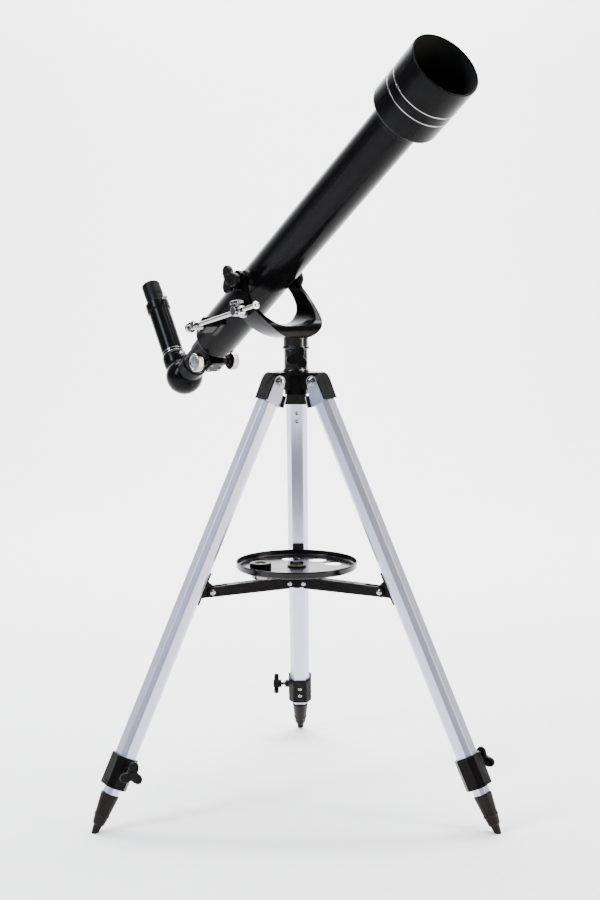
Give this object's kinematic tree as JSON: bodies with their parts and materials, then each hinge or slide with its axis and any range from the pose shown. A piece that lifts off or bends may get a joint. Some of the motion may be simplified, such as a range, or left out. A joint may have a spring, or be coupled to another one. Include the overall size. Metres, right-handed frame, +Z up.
{
  "type": "refractor telescope",
  "caption": "Refractor telescope: fork alt-azimuth mount with slow-motion rod, folding telescopic tripod with accessory tray, star diagonal and erecting tube.",
  "frame": {"origin": "on the ground, under the middle of the bounding box", "axes": "+Z up; +Y towards the back leg of the tripod; +X to the right of someone facing +Y"},
  "size_m": [0.5158, 0.5766, 0.9684],
  "materials": {
    "gloss_black": "gloss black paint",
    "black_plastic": "satin moulded plastic",
    "foot_rubber": "matt rubber",
    "leg_aluminium": "satin anodised",
    "bracket_paint": "satin grey-blue paint",
    "chrome": "polished plating",
    "brass": "machined",
    "mirror": "aluminised glass",
    "lens_glass": "coated optical glass"
  },
  "bodies": {
    "head": {"tripod_hub": "black_plastic"},
    "leg_left": {"leg_head_left": "bracket_paint", "outer_leg_left": "leg_aluminium", "leg_clamp_left": "black_plastic", "spreader_bracket_left": "black_plastic"},
    "lower_leg_left": {"inner_leg_left": "leg_aluminium", "foot_left": "foot_rubber"},
    "leg_lock_left": {"leg_lock_knob_left": "black_plastic"},
    "arm_left": {"spreader_arm_left": "black_plastic"},
    "leg_right": {"leg_head_right": "bracket_paint", "outer_leg_right": "leg_aluminium", "leg_clamp_right": "black_plastic", "spreader_bracket_right": "black_plastic"},
    "lower_leg_right": {"inner_leg_right": "leg_aluminium", "foot_right": "foot_rubber"},
    "leg_lock_right": {"leg_lock_knob_right": "black_plastic"},
    "arm_right": {"spreader_arm_right": "black_plastic"},
    "leg_back": {"leg_head_back": "bracket_paint", "outer_leg_back": "leg_aluminium", "leg_clamp_back": "black_plastic", "spreader_bracket_back": "black_plastic"},
    "lower_leg_back": {"inner_leg_back": "leg_aluminium", "foot_back": "foot_rubber"},
    "leg_lock_back": {"leg_lock_knob_back": "black_plastic"},
    "arm_back": {"spreader_arm_back": "black_plastic"},
    "spreader": {"spreader_hub": "black_plastic"},
    "tray": {"tray": "gloss_black"},
    "tray_screw": {"tray_screw": "black_plastic"},
    "spare_eyepiece": {"spare_eyepiece": "chrome"},
    "yoke": {"yoke": "gloss_black"},
    "azimuth_lock": {"azimuth_lock_knob": "black_plastic"},
    "tube": {"main_tube": "gloss_black", "trunnion_boss_left": "black_plastic", "trunnion_boss_right": "black_plastic", "dew_shield": "gloss_black", "objective_cell": "black_plastic", "flint_lens": "lens_glass", "crown_lens": "lens_glass", "tube_baffle": "black_plastic", "focuser_body": "black_plastic", "pinion_cover": "black_plastic", "rod_bracket": "black_plastic"},
    "altitude_knob_left": {"altitude_knob_left": "black_plastic"},
    "altitude_knob_right": {"altitude_knob_right": "black_plastic"},
    "rod": {"rod_swivel": "chrome", "slow_motion_rod": "chrome"},
    "rod_clamp": {"rod_clamp": "chrome"},
    "rod_clamp_screw": {"rod_clamp_screw": "chrome"},
    "drawtube": {"drawtube": "chrome", "rack": "brass"},
    "focus_knobs": {"pinion_shaft": "brass", "focus_knob_left": "chrome", "focus_knob_right": "chrome"},
    "diagonal": {"diagonal_body": "gloss_black", "diagonal_mirror": "mirror"},
    "diagonal_screw": {"diagonal_screw": "chrome"},
    "erecting_tube": {"erecting_tube": "gloss_black", "erecting_lens": "lens_glass"},
    "eyepiece": {"eyepiece": "black_plastic"},
    "eyepiece_screw": {"eyepiece_screw": "chrome"}
  },
  "joints": [
    {"name": "leg_fold_left", "type": "hinge", "parent": "head", "child": "leg_left", "pos_m": [-0.02598, -0.04001, 0.5593], "axis": [-0.5, 0.866, 0], "range_deg": [-5, 0]},
    {"name": "leg_fold_right", "type": "hinge", "parent": "head", "child": "leg_right", "pos_m": [0.02598, -0.04001, 0.5593], "axis": [-0.5, -0.866, 0], "range_deg": [-5.1, 0.1]},
    {"name": "leg_fold_back", "type": "hinge", "parent": "head", "child": "leg_back", "pos_m": [0, 0.00499, 0.5593], "axis": [1, 0, 0], "range_deg": [-5.1, 0.1]},
    {"name": "spreader_arm_left_turn", "type": "hinge", "parent": "leg_left", "child": "arm_left", "pos_m": [-0.11033, -0.08871, 0.2915], "axis": [-0.5, 0.866, 0], "range_deg": [-33.42, 0.6]},
    {"name": "spreader_arm_right_turn", "type": "hinge", "parent": "leg_right", "child": "arm_right", "pos_m": [0.11033, -0.08871, 0.2915], "axis": [-0.5, -0.866, 0], "range_deg": [-33.42, 0.6]},
    {"name": "spreader_arm_back_turn", "type": "hinge", "parent": "leg_back", "child": "arm_back", "pos_m": [0, 0.10239, 0.2915], "axis": [1, 0, 0], "range_deg": [-33.42, 0.6]},
    {"name": "spreader_rise", "type": "slide", "parent": "head", "child": "spreader", "axis": [0, 0, 1], "range_m": [-0.0005, 0.06225]},
    {"name": "leg_extend_left", "type": "slide", "parent": "leg_left", "child": "lower_leg_left", "axis": [-0.3684, -0.2127, -0.905], "range_m": [0, 0.32]},
    {"name": "leg_extend_right", "type": "slide", "parent": "leg_right", "child": "lower_leg_right", "axis": [0.3684, -0.2127, -0.905], "range_m": [0, 0.32]},
    {"name": "leg_extend_back", "type": "slide", "parent": "leg_back", "child": "lower_leg_back", "axis": [0, 0.4254, -0.905], "range_m": [0, 0.32]},
    {"name": "leg_lock_left_turn", "type": "hinge", "parent": "leg_left", "child": "leg_lock_left", "pos_m": [-0.22124, -0.15274, 0.07964], "axis": [0.5, -0.866, 0], "range_deg": [-720, 0]},
    {"name": "leg_lock_right_turn", "type": "hinge", "parent": "leg_right", "child": "leg_lock_right", "pos_m": [0.22124, -0.15274, 0.07964], "axis": [0.5, 0.866, 0], "range_deg": [-720, 0]},
    {"name": "leg_lock_back_turn", "type": "hinge", "parent": "leg_back", "child": "leg_lock_back", "pos_m": [0, 0.23046, 0.07964], "axis": [-1, 0, 0], "range_deg": [-720, 0]},
    {"name": "tray_turn", "type": "hinge", "parent": "spreader", "child": "tray", "pos_m": [0, -0.02501, 0.311], "axis": [0, 0, 1], "continuous": true},
    {"name": "tray_screw_turn", "type": "hinge", "parent": "tray", "child": "tray_screw", "pos_m": [0, -0.02501, 0.311], "axis": [0, 0, 1], "continuous": true},
    {"name": "spare_eyepiece_lift", "type": "slide", "parent": "tray", "child": "spare_eyepiece", "axis": [0, 0, 1], "range_m": [0, 0.03]},
    {"name": "azimuth_turn", "type": "hinge", "parent": "head", "child": "yoke", "pos_m": [0, -0.02501, 0.6], "axis": [0, 0, 1], "continuous": true},
    {"name": "azimuth_lock_turn", "type": "hinge", "parent": "head", "child": "azimuth_lock", "pos_m": [0, -0.02501, 0.5896], "axis": [0.1392, -0.9903, 0], "range_deg": [0, 720]},
    {"name": "altitude_tilt", "type": "hinge", "parent": "yoke", "child": "tube", "pos_m": [-0.04041, 0.02843, 0.6905], "axis": [-0.7976, -0.6032, 0], "range_deg": [-34, 40]},
    {"name": "altitude_knob_left_turn", "type": "hinge", "parent": "yoke", "child": "altitude_knob_left", "pos_m": [-0.09146, -0.01017, 0.6905], "axis": [-0.7976, -0.6032, 0], "range_deg": [0, 720]},
    {"name": "altitude_knob_right_turn", "type": "hinge", "parent": "yoke", "child": "altitude_knob_right", "pos_m": [0.01063, 0.06704, 0.6905], "axis": [0.7976, 0.6032, 0], "range_deg": [0, 720]},
    {"name": "rod_swivel_turn", "type": "hinge", "parent": "tube", "child": "rod", "pos_m": [-0.13511, 0.05252, 0.62845], "axis": [-0.7976, -0.6032, 0], "range_deg": [-4, 4]},
    {"name": "rod_clamp_slide", "type": "slide", "parent": "rod", "child": "rod_clamp", "axis": [0.5901, -0.7803, 0.2071], "range_m": [-0.035, 0.03]},
    {"name": "rod_clamp_screw_turn", "type": "hinge", "parent": "rod_clamp", "child": "rod_clamp_screw", "pos_m": [-0.07492, -0.02707, 0.64957], "axis": [-0.1249, 0.1651, 0.9783], "range_deg": [0, 720]},
    {"name": "focus_travel", "type": "slide", "parent": "tube", "child": "drawtube", "axis": [-0.4992, 0.6601, -0.5614], "range_m": [-0.012, 0.055]},
    {"name": "focus_pinion_turn", "type": "hinge", "parent": "tube", "child": "focus_knobs", "pos_m": [-0.11748, 0.13033, 0.57423], "axis": [-0.7976, -0.6032, 0], "range_deg": [-160, 720]},
    {"name": "diagonal_turn", "type": "hinge", "parent": "drawtube", "child": "diagonal", "pos_m": [-0.16591, 0.19437, 0.54937], "axis": [0.4992, -0.6601, 0.5614], "continuous": true},
    {"name": "diagonal_screw_turn", "type": "hinge", "parent": "diagonal", "child": "diagonal_screw", "pos_m": [-0.18021, 0.21471, 0.56997], "axis": [0.4992, -0.6601, 0.5614], "range_deg": [0, 720]},
    {"name": "erecting_tube_slide", "type": "slide", "parent": "diagonal", "child": "erecting_tube", "axis": [-0.3162, 0.4644, 0.8272], "range_m": [0, 0.02]},
    {"name": "eyepiece_slide", "type": "slide", "parent": "erecting_tube", "child": "eyepiece", "axis": [-0.3162, 0.4644, 0.8272], "range_m": [0, 0.022]},
    {"name": "eyepiece_screw_turn", "type": "hinge", "parent": "erecting_tube", "child": "eyepiece_screw", "pos_m": [-0.21025, 0.25883, 0.64855], "axis": [0.4992, -0.6601, 0.5614], "range_deg": [0, 720]}
  ],
  "couplings": [
    {"joint": "leg_fold_right", "follows": "leg_fold_left", "ratio": 1},
    {"joint": "leg_fold_back", "follows": "leg_fold_left", "ratio": 1},
    {"joint": "spreader_arm_left_turn", "follows": "leg_fold_left", "ratio": 6.5632},
    {"joint": "spreader_arm_right_turn", "follows": "leg_fold_left", "ratio": 6.5632},
    {"joint": "spreader_arm_back_turn", "follows": "leg_fold_left", "ratio": 6.5632},
    {"joint": "spreader_rise", "follows": "leg_fold_left", "m_per_rad": -0.70763},
    {"joint": "rod_swivel_turn", "follows": "altitude_tilt", "ratio": -0.06},
    {"joint": "rod_clamp_slide", "follows": "altitude_tilt", "m_per_rad": -0.0418},
    {"joint": "focus_pinion_turn", "follows": "focus_travel", "rad_per_m": 227.27}
  ]
}
